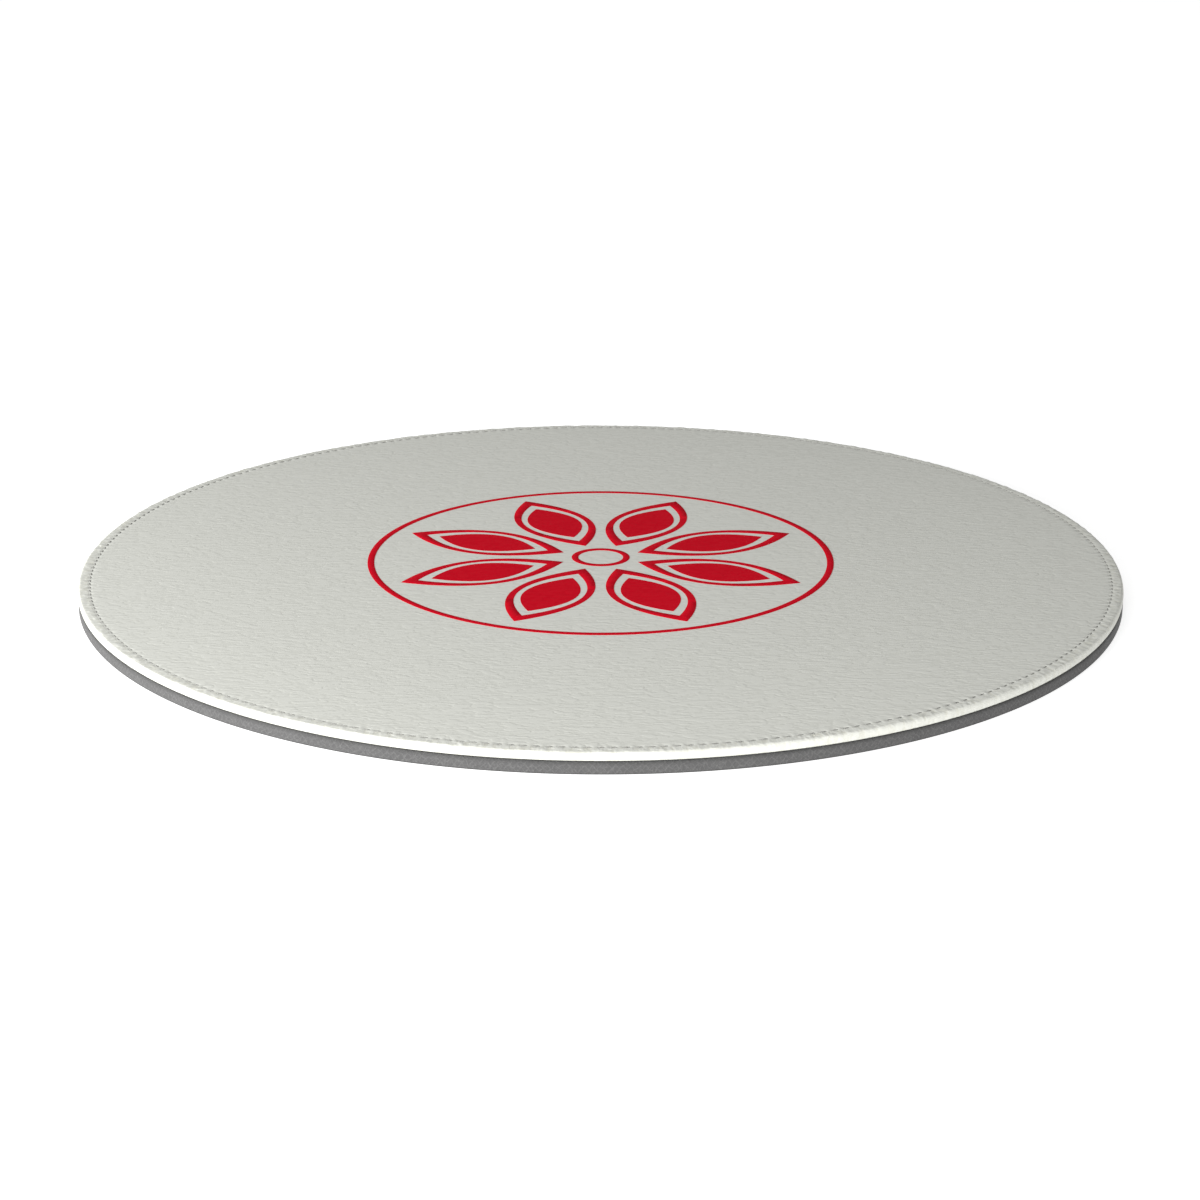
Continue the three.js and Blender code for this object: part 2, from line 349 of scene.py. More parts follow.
# Embossed grain of coated leather: soft wrinkles that run sideways, their creases, and fine pores
def makeGrainGroup():
    tree, given, result = newTree("leatherGrain", "ShaderNodeTree", [
        ("Vector", "NodeSocketVector", None),
        ("Wrinkles Per Metre", "NodeSocketFloat", 720),
        ("Sideways Share", "NodeSocketFloat", 0.38),  # wrinkle count along X against that along Y
        ("Crease Width", "NodeSocketFloat", 0.1),
        ("Pebble Share", "NodeSocketFloat", 0.5),
        ("Pores Per Metre", "NodeSocketFloat", 2600),
        ("Pore Share", "NodeSocketFloat", 0.12),
        ("Mottles Per Metre", "NodeSocketFloat", 28),
    ], [("Height", "NodeSocketFloat"), ("Crease", "NodeSocketFloat"), ("Mottle", "NodeSocketFloat")])
    share = addNode(tree, "ShaderNodeCombineXYZ", X=given["Sideways Share"], Y=1.0, Z=1.0).outputs[0]
    stretched = vectorCalc(tree, "MULTIPLY", given["Vector"], share)
    wrinkles = noise(tree, stretched, given["Wrinkles Per Metre"], detail=2.0, Roughness=0.45)
    fromCrease = calc(tree, "ABSOLUTE", calc(tree, "SUBTRACT", wrinkles, 0.5))
    pebble = ease(tree, fromCrease, 0.0, given["Crease Width"])
    pores = noise(tree, given["Vector"], given["Pores Per Metre"], detail=2.0)
    height = calc(tree, "ADD", product(tree, pebble, given["Pebble Share"]), wrinkles)
    height = calc(tree, "ADD", height, product(tree, pores, given["Pore Share"]))
    tree.links.new(height, result["Height"])
    tree.links.new(calc(tree, "SUBTRACT", 1.0, pebble), result["Crease"])
    tree.links.new(noise(tree, given["Vector"], given["Mottles Per Metre"], detail=3.0), result["Mottle"])
    return tree


# Fine ribs across the sewn border, where the leather is gathered round the rim
def makeGatherGroup():
    tree, given, result = newTree("seamGathers", "ShaderNodeTree", [
        ("Vector", "NodeSocketVector", None),
        ("Seam Radius", "NodeSocketFloat", 112.5 * mm),
        ("Ribs Per Metre", "NodeSocketFloat", 1100),
        ("Rib Stretch", "NodeSocketFloat", 0.4),
        ("Border Fade", "NodeSocketFloat", 0.5 * mm),
        ("Inner Reach", "NodeSocketFloat", 3 * mm),
        ("Inner Edge", "NodeSocketFloat", 0.3 * mm),
        ("Inner Share", "NodeSocketFloat", 0.25),  # of the ribs' height, on the face's side of the seam
        ("Seam Half Width", "NodeSocketFloat", 0.55 * mm),
        ("Seam Core", "NodeSocketFloat", 0.1 * mm),
    ], [("Height", "NodeSocketFloat"), ("Border", "NodeSocketFloat"), ("Seam", "NodeSocketFloat")])
    flat = vectorCalc(tree, "MULTIPLY", given["Vector"], (1, 1, 0))
    reach = vectorCalc(tree, "LENGTH", flat)
    ring = addNode(tree, "ShaderNodeVectorMath", {"operation": "SCALE"}, Scale=given["Seam Radius"])
    tree.links.new(vectorCalc(tree, "NORMALIZE", flat), ring.inputs[0])
    across = calc(tree, "SUBTRACT", reach, given["Seam Radius"])
    height = addNode(tree, "ShaderNodeSeparateXYZ", Vector=given["Vector"]).outputs["Z"]
    overRim = product(tree, calc(tree, "SUBTRACT", across, height), given["Rib Stretch"])
    lift = addNode(tree, "ShaderNodeCombineXYZ", Z=overRim).outputs[0]
    ribs = noise(tree, vectorCalc(tree, "ADD", ring.outputs[0], lift), given["Ribs Per Metre"], detail=2.0)
    border = ease(tree, across, 0.0, given["Border Fade"])
    inward = ease(tree, across, negative(tree, given["Inner Reach"]), negative(tree, given["Inner Edge"]))
    strength = calc(tree, "MAXIMUM", border, product(tree, inward, given["Inner Share"]))
    # A band along the seam, which the leather uses for painted shade in the stitch groove
    seam = ease(tree, calc(tree, "ABSOLUTE", across), given["Seam Half Width"], given["Seam Core"])
    tree.links.new(product(tree, calc(tree, "SUBTRACT", ribs, 0.5), strength), result["Height"])
    tree.links.new(border, result["Border"])
    tree.links.new(seam, result["Seam"])
    return tree


# Rubbed patches along the rim, where hands and tables reach, and specks of dust
def makeWearGroup():
    tree, given, result = newTree("edgeWear", "ShaderNodeTree", [
        ("Vector", "NodeSocketVector", None),
        ("Rim Start", "NodeSocketFloat", 113 * mm),
        ("Rim End", "NodeSocketFloat", 115 * mm),
        ("Patchiness", "NodeSocketFloat", 0.6),
        ("Patches Per Metre", "NodeSocketFloat", 160),
        ("Patch Low", "NodeSocketFloat", 0.42),
        ("Patch High", "NodeSocketFloat", 0.68),
        ("Specks Per Metre", "NodeSocketFloat", 1100),
        ("Speck Low", "NodeSocketFloat", 0.66),
        ("Speck High", "NodeSocketFloat", 0.74),
    ], [("Wear", "NodeSocketFloat"), ("Dust", "NodeSocketFloat")])
    reach = vectorCalc(tree, "LENGTH", vectorCalc(tree, "MULTIPLY", given["Vector"], (1, 1, 0)))
    rim = ease(tree, reach, given["Rim Start"], given["Rim End"])
    patches = noise(tree, given["Vector"], given["Patches Per Metre"], detail=4.0)
    worn = ease(tree, patches, given["Patch Low"], given["Patch High"])
    keep = calc(tree, "SUBTRACT", 1.0, given["Patchiness"])
    patchy = calc(tree, "ADD", keep, product(tree, worn, given["Patchiness"]))
    tree.links.new(product(tree, rim, patchy), result["Wear"])
    specks = noise(tree, given["Vector"], given["Specks Per Metre"], detail=1.0)
    tree.links.new(ease(tree, specks, given["Speck Low"], given["Speck High"]), result["Dust"])
    return tree


grainGroup = makeGrainGroup()
gatherGroup = makeGatherGroup()
wearGroup = makeWearGroup()
print("surface effects built")


# Leather cover: flat face, stitched valley, bead, rolled shoulder, turned-under hem

cover = {
    "stepsPerStitch": 8,
    "stitchCount": 300,
    "faceSteps": [-13, -7, -3.2, -1.9, -1.3, -0.85, -0.6, -0.42, -0.25, -0.09, 0.09, 0.25, 0.42, 0.6, 0.85,
                  1.15, 1.45, 1.75],  # of the section, across the seam in mm
    "hemWidth": 12 * mm,
    "drawnWidth": 20 * mm,  # of the face that the sewing draws down, inside the seam
    "beadDrop": 0.18 * mm,  # how much lower the bead lies than the face
    "rollHeight": 0.9 * mm,
    "hemCornerRadius": 0.35 * mm,
    "crownInset": 0.6 * mm,  # from the rim to where the bead starts to roll over
    "crownStart": 0.4 * mm,  # outside the seam, from where the bead's round back falls
    "crownDrop": 0.05 * mm,  # its fall from there to where it rolls over
    "channelHalfWidth": 0.995 * mm,
    "channelRoof": 0.245 * mm,  # of the thread's channel, above the bobbin thread's middle
    "flatSize": 256 * mm,  # across the round blank that the cover is cut from
    "colour": (0.602, 0.608, 0.563, 1),
    # painted shade: the grain's creases are coloured darker
    "creaseShadeColour": (0.51, 0.515, 0.47, 1),
    "creaseShadeShare": 0.35,
    "mottleColour": (0.66, 0.655, 0.60, 1),
    "mottleShare": 0.10,
    "wornColour": (0.70, 0.69, 0.63, 1),
    "wornShare": 0.12,
    "wornWidth": 1.2 * mm,
    # painted shade: a darker band along the stitch groove
    "seamColour": (0.42, 0.42, 0.39, 1),
    "seamShare": 0.09,
    "gatherShadeColour": (0.50, 0.49, 0.40, 1),  # painted shade in the hollows between the border's gathers
    "gatherShadeShare": 0.3,
    "hollowDepth": 0.15,  # below the gathers' mean height, at which a hollow has its full painted shade
    "roughness": 0.55,
    "creaseRoughness": 0.12,
    "polish": 0.12,
    "grainDepth": 0.06 * mm,
    "grainMiddle": 0.87,  # the grain's mean height, so that it fades at the border without a step
    "borderFlatness": 0.6,  # of the grain's height that the border loses
    "ribDepth": 2.4,  # of the border's gathers, against the grain's depth
}
pucker = {
    "Stitch Count": cover["stitchCount"],
    "Seam Radius": seamRadius,
    "Gather Depth": 0.05 * mm,
    "Gather Inner": 1.9 * mm,
    "Gather Outer": 1.0 * mm,
    "Gather Core": 0.15 * mm,  # half the width that has the full depth
    "Bridge Share": 0.1,  # of the gathers' depth that is left where the leather rises between dashes
    "Press Depth": 0.06 * mm,
    "Press Half Width": 0.38 * mm,
    "Press Core": 0.1 * mm,
    "Inner Slope": 0.6,  # of the pressed groove's inner side, against its outer side
    "Half Dash": 0.6 * mm,
    "Dash Core": 0.6,  # pressed to the full depth, in half dashes like the next three
    "Dash Reach": 1.55,
    "Hole Place": 1.05,
    "Hole Reach": 0.6,
    "Hole Half Width": 0.42 * mm,
    "Hole Core": 0.08 * mm,
    "Hole Depth": 0.02 * mm,
    "Slant": 0.03 * mm,  # across the seam, at each end of a dash
    "Lumps Per Metre": 600.0,
    "Lump Height": 0.35 * mm,  # of the strip between the seam and the rim
    "Lump Start": 0.3 * mm,  # outside the seam
    "Lump Core": 1.3 * mm,
    "Rim Fade": 1.0 * mm,  # over which the lumps end at the rim
    "Edge Waver": 1.9 * mm,  # of the line where the bead starts to roll over
    "Lump Limit": 0.16,  # of the noise, so that no lump folds the leather
}
beadZ = topZ - cover["beadDrop"]


# The sewing draws the face down to the bead's height, and the bead falls in a round back towards the rim
def faceHeight(across):
    share = min(max(1 + across / cover["drawnWidth"], 0), 1)
    drawn = cover["beadDrop"] * share * share * (3 - 2 * share)
    backWidth = padRadius - cover["crownInset"] - seamRadius - cover["crownStart"]
    backShare = max(across - cover["crownStart"], 0) / backWidth
    return topZ - drawn - cover["crownDrop"] * backShare ** 2


def coverSection():
    underside = (topZ + hemZ) / 2
    crown = padRadius - cover["crownInset"]
    hemCorner = cover["hemCornerRadius"]
    channel = cover["channelHalfWidth"]
    roof = bobbinZ + cover["channelRoof"]
    hemInner = padRadius - cover["hemWidth"]
    return [
        (0, topZ),
        (seamRadius - cover["drawnWidth"], topZ),
        *[(seamRadius + step * mm, faceHeight(step * mm)) for step in cover["faceSteps"]],
        *arc(crown, beadZ - cover["rollHeight"],
             cover["crownInset"], cover["rollHeight"] - cover["crownDrop"], start=86, end=0, steps=9),
        *arc(padRadius - hemCorner, hemZ + hemCorner, hemCorner, hemCorner, start=0, end=-90, steps=3),
        (seamRadius + channel, hemZ),
        (seamRadius + channel, roof),
        (seamRadius - channel, roof),
        (seamRadius - channel, hemZ),
        (hemInner, hemZ),
        (hemInner, underside),
        (0, underside),
    ]


# The thread presses the leather down under each dash and draws it in at the holes
def puckerRule(tree, given, reach, height, turn):
    around = product(tree, turn, calc(tree, "DIVIDE", given["Stitch Count"], math.tau))
    phase = calc(tree, "SUBTRACT", calc(tree, "FRACT", calc(tree, "ADD", around, 0.5)), 0.5)
    pitch = product(tree, given["Seam Radius"], calc(tree, "DIVIDE", math.tau, given["Stitch Count"]))
    share = calc(tree, "DIVIDE", product(tree, phase, pitch), given["Half Dash"])
    alongSize = calc(tree, "ABSOLUTE", share)
    across = calc(tree, "SUBTRACT", reach, given["Seam Radius"])
    fromThread = calc(tree, "ADD", across, product(tree, share, given["Slant"]))
    beside = calc(tree, "MAXIMUM", fromThread, product(tree, fromThread, given["Inner Slope"], -1))
    upper = calc(tree, "GREATER_THAN", height, beadZ - cover["rollHeight"])
    gatherCore = negative(tree, given["Gather Core"])
    gathered = product(tree, upper,
                       ease(tree, across, negative(tree, given["Gather Inner"]), gatherCore),
                       ease(tree, across, given["Gather Outer"], given["Gather Core"]))
    underDash = ease(tree, alongSize, given["Dash Reach"], given["Dash Core"])
    bridge = calc(tree, "SUBTRACT", 1.0, given["Bridge Share"])
    dip = calc(tree, "ADD", given["Bridge Share"], product(tree, bridge, underDash))
    pressed = ease(tree, beside, given["Press Half Width"], given["Press Core"])
    fromHole = calc(tree, "ABSOLUTE", calc(tree, "SUBTRACT", alongSize, given["Hole Place"]))
    hole = product(tree, upper, ease(tree, fromHole, given["Hole Reach"], 0.0),
                   ease(tree, beside, given["Hole Half Width"], given["Hole Core"]))
    lowered = calc(tree, "ADD", product(tree, given["Gather Depth"], gathered, dip),
                   product(tree, given["Press Depth"], product(tree, upper, pressed, underDash)))
    lowered = calc(tree, "ADD", lowered, product(tree, given["Hole Depth"], hole))
    ringSpot = addNode(tree, "ShaderNodeCombineXYZ", Z=across,
                       X=product(tree, given["Seam Radius"], calc(tree, "SINE", turn)),
                       Y=product(tree, given["Seam Radius"], calc(tree, "COSINE", turn)))
    lumps = noise(tree, ringSpot.outputs[0], given["Lumps Per Metre"], detail=2.0)
    lump = calc(tree, "MINIMUM", calc(tree, "SUBTRACT", lumps, 0.5), given["Lump Limit"])
    lump = calc(tree, "MAXIMUM", lump, negative(tree, given["Lump Limit"]))
    border = product(tree, upper, ease(tree, across, given["Lump Start"], given["Lump Core"]),
                     ease(tree, reach, padRadius, calc(tree, "SUBTRACT", padRadius, given["Rim Fade"])))
    lowered = calc(tree, "SUBTRACT", lowered, product(tree, given["Lump Height"], border, lump))
    shift = product(tree, given["Edge Waver"], border, lump)
    return calc(tree, "ADD", reach, shift), calc(tree, "SUBTRACT", height, lowered)


def makeLeather():
    material, tree, shader, spot = newMaterial("coverLeather", Specular_IOR_Level=0.25)
    grain = useGroup(tree, grainGroup, Vector=spot)
    gathers = useGroup(tree, gatherGroup, Vector=spot, Seam_Radius=seamRadius)
    wear = useGroup(tree, wearGroup, Vector=spot, Rim_Start=padRadius - cover["wornWidth"], Rim_End=padRadius)
    # Painted shade: the gathers' hollows, the grain's creases and the stitch groove are coloured darker
    hollowShade = product(tree, gathers["Border"], ease(tree, gathers["Height"], 0.0, -cover["hollowDepth"]))
    colourBy(tree, shader, cover, {"creaseShade": grain["Crease"], "mottle": grain["Mottle"], "worn": wear["Wear"],
                                   "seam": gathers["Seam"], "gatherShade": hollowShade})
    rough = calc(tree, "ADD", cover["roughness"], product(tree, grain["Crease"], cover["creaseRoughness"]))
    rough = calc(tree, "SUBTRACT", rough, product(tree, wear["Wear"], cover["polish"]))
    tree.links.new(rough, shader.inputs["Roughness"])
    faceShare = calc(tree, "SUBTRACT", 1.0, product(tree, gathers["Border"], cover["borderFlatness"]))
    grainRise = calc(tree, "SUBTRACT", grain["Height"], cover["grainMiddle"])
    height = calc(tree, "ADD", product(tree, grainRise, faceShare),
                  product(tree, gathers["Height"], cover["ribDepth"]))
    addBump(tree, shader, height, cover["grainDepth"])
    return material


coverLeather = makeLeather()
puckerTree = turningTree("sewnCover", list(pucker.items()), puckerRule)
leatherCover = grow("leatherCover", sectionMesh("coverSection", coverSection(), False), puckerTree,
                    {"Segments": cover["stitchCount"] * cover["stepsPerStitch"], **pucker}, coverLeather,
                    sharpAngle=50)


# Needle thread: one stitch from loop to loop, set round the seam as often as there are stitches

stitch = {
    "radius": 0.18 * mm,
    "flatness": 0.6,  # height against width, since the thread is drawn tight
    "plies": 3,
    "plyShare": 0.84,  # radius between two plies, against the radius on them
    "turnsPerStitch": 1,
    # From the dash's middle to the loop: along and across the seam, height and share of the radius
    "middle": (0.0, 0.0, beadZ - 0.075 * mm, 1.0),
    "bends": [
        (0.33 * mm, -0.015 * mm, beadZ - 0.08 * mm, 1.0),
        (0.57 * mm, -0.04 * mm, beadZ - 0.12 * mm, 0.95),
        (0.70 * mm, -0.11 * mm, beadZ - 0.31 * mm, 1.0),
        (1.03 * mm, -0.47 * mm, hemZ + 0.33 * mm, 1.0),
    ],
    "loop": (math.pi * seamRadius / cover["stitchCount"], 0.0, hemZ + 0.275 * mm, 1.0),
    "strandRounds": 9.0,  # ridges that are drawn round the thread
    "strandRun": 3.0,  # and by how many of them a stitch is twisted
    "fuzzPerMetre": 9000.0,
    "fuzzRise": 0.5,  # against the ridges' height
    "bumpDepth": 0.03 * mm,
    "roughness": 0.8,
    "colour": (0.30, 0.298, 0.278, 1),
    "lightColour": (0.45, 0.445, 0.42, 1),
}


def seamPoint(along, across, height):
    turn = along / seamRadius
    reach = seamRadius + across
    return Vector((reach * math.sin(turn), -reach * math.cos(turn), height))


def stitchMesh():
    ahead = [*stitch["bends"], stitch["loop"]]
    behind = [(-along, -across, height, share) for along, across, height, share in reversed(ahead)]
    bends = [*behind, stitch["middle"], *ahead]
    path = [seamPoint(along, across, height) for along, across, height, share in bends]
    nextStitch = Matrix.Rotation(math.tau / cover["stitchCount"], 3, "Z")
    runs = []
    for place in range(len(path)):
        before = path[place - 1] if place else nextStitch.inverted() @ path[-2]
        after = path[place + 1] if place < len(path) - 1 else nextStitch @ path[1]
        runs.append((after - before).normalized())
    up = Vector((0, 0, 1))
    ups = [(up - runs[0] * up.dot(runs[0])).normalized()]
    for before, after in zip(runs, runs[1:]):
        ups.append(before.rotation_difference(after) @ ups[-1])
    wanted = nextStitch @ ups[0]
    slip = math.atan2(ups[-1].cross(wanted).dot(runs[-1]), ups[-1].dot(wanted))
    sides = 2 * stitch["plies"]
    points = []
    for place, (centre, run, lift) in enumerate(zip(path, runs, ups)):
        share = place / (len(path) - 1)
        twist = (slip + math.tau * stitch["turnsPerStitch"]) * share
        for side in range(sides):
            ply = 1 if side % 2 == 0 else stitch["plyShare"]
            spoke = Quaternion(run, twist + math.tau * side / sides) @ lift
            spoke.z *= stitch["flatness"]
            points.append(centre + spoke * stitch["radius"] * bends[place][3] * ply)
    faces = []
    for place in range(len(path) - 1):
        for side in range(sides):
            after = (side + 1) % sides
            faces.append((place * sides + side, place * sides + after,
                          (place + 1) * sides + after, (place + 1) * sides + side))
    mesh = meshFrom("stitch", points, faces)
    layer = mesh.uv_layers.new(name="threadWay")
    for face in mesh.polygons:
        ring, side = divmod(face.index, sides)
        ways = [(ring, side), (ring, side + 1), (ring + 1, side + 1), (ring + 1, side)]
        for loop, (alongStep, aroundStep) in zip(face.loop_indices, ways):
            layer.data[loop].uv = (alongStep / (len(path) - 1), aroundStep / sides)
    return mesh


# Sets a piece round the pad's axis a number of times and joins what meets
def repeatingTree():
    tree, given, result = newTree("roundTheAxis", "GeometryNodeTree", [
        ("Piece", "NodeSocketGeometry", None),
        ("Count", "NodeSocketInt", 8),
        ("First Turn", "NodeSocketFloat", 0.0),
        ("Material", "NodeSocketMaterial", None),
    ], [("Geometry", "NodeSocketGeometry")])
    spots = addNode(tree, "GeometryNodeMeshLine", Count=given["Count"], Offset=(0, 0, 0)).outputs[0]
    index = addNode(tree, "GeometryNodeInputIndex").outputs[0]
    share = calc(tree, "DIVIDE", index, given["Count"])
    turn = calc(tree, "ADD", given["First Turn"], product(tree, share, math.tau))
    rotation = addNode(tree, "ShaderNodeCombineXYZ", Z=turn).outputs[0]
    copies = addNode(tree, "GeometryNodeInstanceOnPoints", Points=spots, Instance=given["Piece"],
                     Rotation=rotation).outputs[0]
    real = addNode(tree, "GeometryNodeRealizeInstances", Geometry=copies).outputs[0]
    joined = addNode(tree, "GeometryNodeMergeByDistance", Geometry=real, Distance=meetingReach).outputs[0]
    finished = addNode(tree, "GeometryNodeSetMaterial", Geometry=joined, Material=given["Material"])
    tree.links.new(finished.outputs[0], result["Geometry"])
    return tree


def makeNeedleYarn():
    material, tree, shader, spot = newMaterial("needleYarn", Roughness=stitch["roughness"],
                                               Specular_IOR_Level=0.25)
    way = addNode(tree, "ShaderNodeUVMap", {"uv_map": "threadWay"}).outputs[0]
    parts = addNode(tree, "ShaderNodeSeparateXYZ", Vector=way).outputs
    phase = calc(tree, "ADD", product(tree, parts["X"], stitch["strandRun"]),
                 product(tree, parts["Y"], stitch["strandRounds"]))
    ridge = calc(tree, "ABSOLUTE", calc(tree, "SINE", product(tree, phase, math.pi)))
    fuzz = noise(tree, spot, stitch["fuzzPerMetre"], detail=2.0)
    base = mixColour(tree, product(tree, ridge, fuzz), stitch["colour"], stitch["lightColour"])
    tree.links.new(base, shader.inputs["Base Color"])
    height = calc(tree, "ADD", ridge, product(tree, fuzz, stitch["fuzzRise"]))
    addBump(tree, shader, height, stitch["bumpDepth"])
    return material


axisTree = repeatingTree()
needleThread = grow("needleThread", stitchMesh(), axisTree,
                    {"Count": cover["stitchCount"], "First Turn": 0.0}, makeNeedleYarn(), sharpAngle=80)


# Bobbin thread: straight in the channel under the hem, with its plies twisted

bobbin = {
    "segments": 1200,
    "radius": (bobbinHigh.z - bobbinLow.z) / 2,
    "turns": 400.0,
    "fuzzPerMetre": 7000.0,
    "bumpDepth": 0.02 * mm,
    "roughness": 0.8,
    "lowColour": (0.18, 0.175, 0.18, 1),
    "highColour": (0.30, 0.29, 0.29, 1),
}


def twistRule(tree, given, reach, height, turn):
    out = calc(tree, "SUBTRACT", reach, given["Centre Radius"])
    up = calc(tree, "SUBTRACT", height, given["Centre Height"])
    twist = product(tree, turn, given["Turns"])
    cosine, sine = calc(tree, "COSINE", twist), calc(tree, "SINE", twist)
    turnedOut = calc(tree, "SUBTRACT", product(tree, out, cosine), product(tree, up, sine))
    turnedUp = calc(tree, "ADD", product(tree, out, sine), product(tree, up, cosine))
    return (calc(tree, "ADD", turnedOut, given["Centre Radius"]),
            calc(tree, "ADD", turnedUp, given["Centre Height"]))


def bobbinSection():
    section = []
    sides = 2 * stitch["plies"]
    for side in range(sides):
        reach = bobbin["radius"] * (1 if side % 2 == 0 else stitch["plyShare"])
        turn = math.tau * side / sides
        section.append((seamRadius + reach * math.cos(turn), bobbinZ + reach * math.sin(turn)))
    return section


def makeBobbinYarn():
    material, tree, shader, spot = newMaterial("bobbinYarn", Roughness=bobbin["roughness"],
                                               Specular_IOR_Level=0.25)
    patternBy(tree, shader, bobbin, noise(tree, spot, bobbin["fuzzPerMetre"], detail=3.0))
    return material


twistTree = turningTree("twistedThread", [("Centre Radius", 0.1), ("Centre Height", 0.0), ("Turns", 100.0)],
                        twistRule)
bobbinThread = grow("bobbinThread", sectionMesh("bobbinSection", bobbinSection(), True), twistTree,
                    {"Segments": bobbin["segments"], "Centre Radius": seamRadius, "Centre Height": bobbinZ,
                     "Turns": bobbin["turns"]}, makeBobbinYarn(), sharpAngle=80)
print("sewing done")


# Base mat: rubber disc with a rounded shoulder at the parting line and a rounded foot

mat = {
    "segments": 720,
    "shoulderRadius": 0.4 * mm,
    "footRadius": 0.15 * mm,
    "flatInset": 3 * mm,  # from the rim to the last points of the flat faces
    "cellsPerMetre": 1700.0,
    "cellDome": (0.8, 0.1),  # the distances from a cell's middle between which it rises
    "specklesPerMetre": 2600.0,
    "speckleRise": 0.5,  # against the cells' height
    "gritCells": (0.75, 0.1),  # the distances from a cell's middle between which the light grit comes in
    "gritSpeckles": (0.25, 0.75),
    "colour": (0.072, 0.071, 0.071, 1),
    "lightColour": (0.104, 0.103, 0.102, 1),
    "lightShare": 1.0,
    "dustColour": (0.3, 0.295, 0.285, 1),
    "dustShare": 0.02,
    "wornColour": (0.16, 0.16, 0.16, 1),
    "wornShare": 0.08,
    "wornWidth": 0.3 * mm,
    "diamondColour": (0.16, 0.16, 0.157, 1),
    "diamondShare": 0.36,
    "diamondCount": 260,  # half the number round the wall
    "diamondFoot": (0.05 * mm, 0.2 * mm),  # the heights between which the diamonds come in
    "diamondLine": (0.4, 0.05),  # how far from its middle a line begins and is full
    "diamondSpeckles": (0.1, 0.5),  # the speckles that break the lines up
    "diamondRise": 0.8,  # against the cells' height
    "driftsPerMetre": 500.0,
    "drift": 5.0,  # of the diamonds' lines, so that they aren't drawn with a ruler
    "grimeColour": (0.035, 0.035, 0.034, 1),  # painted shade just under the leather's hem and along the foot, where contact shadow falls
    "grimeShare": 0.5,
    "underLeatherShade": (1.0 * mm, 0.1 * mm),  # how far below the leather the painted shade begins and is full
    "footShade": (0.32 * mm, 0.12 * mm),  # the heights at which it begins and is full along the foot
    "footShadeStrength": 1.5,  # of the painted shade along the foot, against that under the leather
    "roughness": 0.78,
    "polish": 0.1,
    "grainDepth": 0.05 * mm,
}


def stillRule(tree, given, reach, height, turn):
    return reach, height


def matSection():
    shoulder, foot = mat["shoulderRadius"], mat["footRadius"]
    return [
        (0, matTop),
        (padRadius - mat["flatInset"], matTop),
        *arc(padRadius - shoulder, matTop - shoulder, shoulder, shoulder, start=90, end=0, steps=6),
        (padRadius, matTop / 2),
        *arc(padRadius - foot, foot, foot, foot, start=0, end=-90, steps=5),
        (padRadius - mat["flatInset"], 0),
        (0, 0),
    ]


def makeRubber():
    material, tree, shader, spot = newMaterial("matRubber", Specular_IOR_Level=0.3)
    cells = addNode(tree, "ShaderNodeTexVoronoi", {"feature": "F1"}, Vector=spot, Scale=mat["cellsPerMetre"],
                    Randomness=0.7).outputs["Distance"]
    speckle = noise(tree, spot, mat["specklesPerMetre"], detail=3.0)
    grit = product(tree, ease(tree, cells, *mat["gritCells"]), ease(tree, speckle, *mat["gritSpeckles"]))
    wear = useGroup(tree, wearGroup, Vector=spot, Rim_Start=padRadius - mat["wornWidth"], Rim_End=padRadius)
    place = addNode(tree, "ShaderNodeSeparateXYZ", Vector=spot).outputs
    around = product(tree, calc(tree, "ARCTAN2", place["Y"], place["X"]), mat["diamondCount"])
    upward = product(tree, place["Z"], mat["diamondCount"] / padRadius)
    uneven = product(tree, noise(tree, spot, mat["driftsPerMetre"], detail=2.0), mat["drift"])
    rising = calc(tree, "SINE", calc(tree, "ADD", calc(tree, "ADD", around, upward), uneven))
    falling = calc(tree, "SINE", calc(tree, "SUBTRACT", calc(tree, "SUBTRACT", around, upward), uneven))
    fromLine = calc(tree, "MINIMUM", calc(tree, "ABSOLUTE", rising), calc(tree, "ABSOLUTE", falling))
    diamonds = product(tree, ease(tree, place["Z"], *mat["diamondFoot"]),
                       ease(tree, fromLine, *mat["diamondLine"]),
                       ease(tree, speckle, *mat["diamondSpeckles"]))
    # Painted shade: the wall is coloured darker just under the leather and along the foot
    begins, full = mat["underLeatherShade"]
    alongFoot = product(tree, ease(tree, place["Z"], *mat["footShade"]), mat["footShadeStrength"])
    grime = calc(tree, "MAXIMUM", ease(tree, place["Z"], matTop - begins, matTop - full), alongFoot)
    colourBy(tree, shader, mat, {"light": grit, "dust": wear["Dust"], "worn": wear["Wear"],
                                 "diamond": diamonds, "grime": grime})
    rough = calc(tree, "SUBTRACT", mat["roughness"], product(tree, wear["Wear"], mat["polish"]))
    tree.links.new(rough, shader.inputs["Roughness"])
    domes = ease(tree, cells, *mat["cellDome"])
    height = calc(tree, "ADD", domes, product(tree, speckle, mat["speckleRise"]))
    height = calc(tree, "ADD", height, product(tree, diamonds, mat["diamondRise"]))
    addBump(tree, shader, height, mat["grainDepth"])
    return material


plainTree = turningTree("turnedPiece", [], stillRule)
baseMat = grow("baseMat", sectionMesh("matSection", matSection(), False), plainTree,
               {"Segments": mat["segments"]}, makeRubber(), sharpAngle=60)


# Foam pad under the leather face

foam = {
    "segments": 240,
    "edgeRadius": 0.2 * mm,
    "flatShare": 0.9,  # of the radius, to the last points of the flat faces
    "cellsPerMetre": 2500.0,
    "bumpDepth": 0.1 * mm,
    "lowColour": (0.06, 0.06, 0.064, 1),
    "highColour": (0.03, 0.03, 0.033, 1),
}


def foamSection():
    radius, edge = foamHigh.x, foam["edgeRadius"]
    return [
        (0, foamHigh.z),
        (radius * foam["flatShare"], foamHigh.z),
        *arc(radius - edge, foamHigh.z - edge, edge, edge, start=90, end=0, steps=4),
        *arc(radius - edge, foamLow.z + edge, edge, edge, start=0, end=-90, steps=4)[1:],
        (0, foamLow.z),
    ]


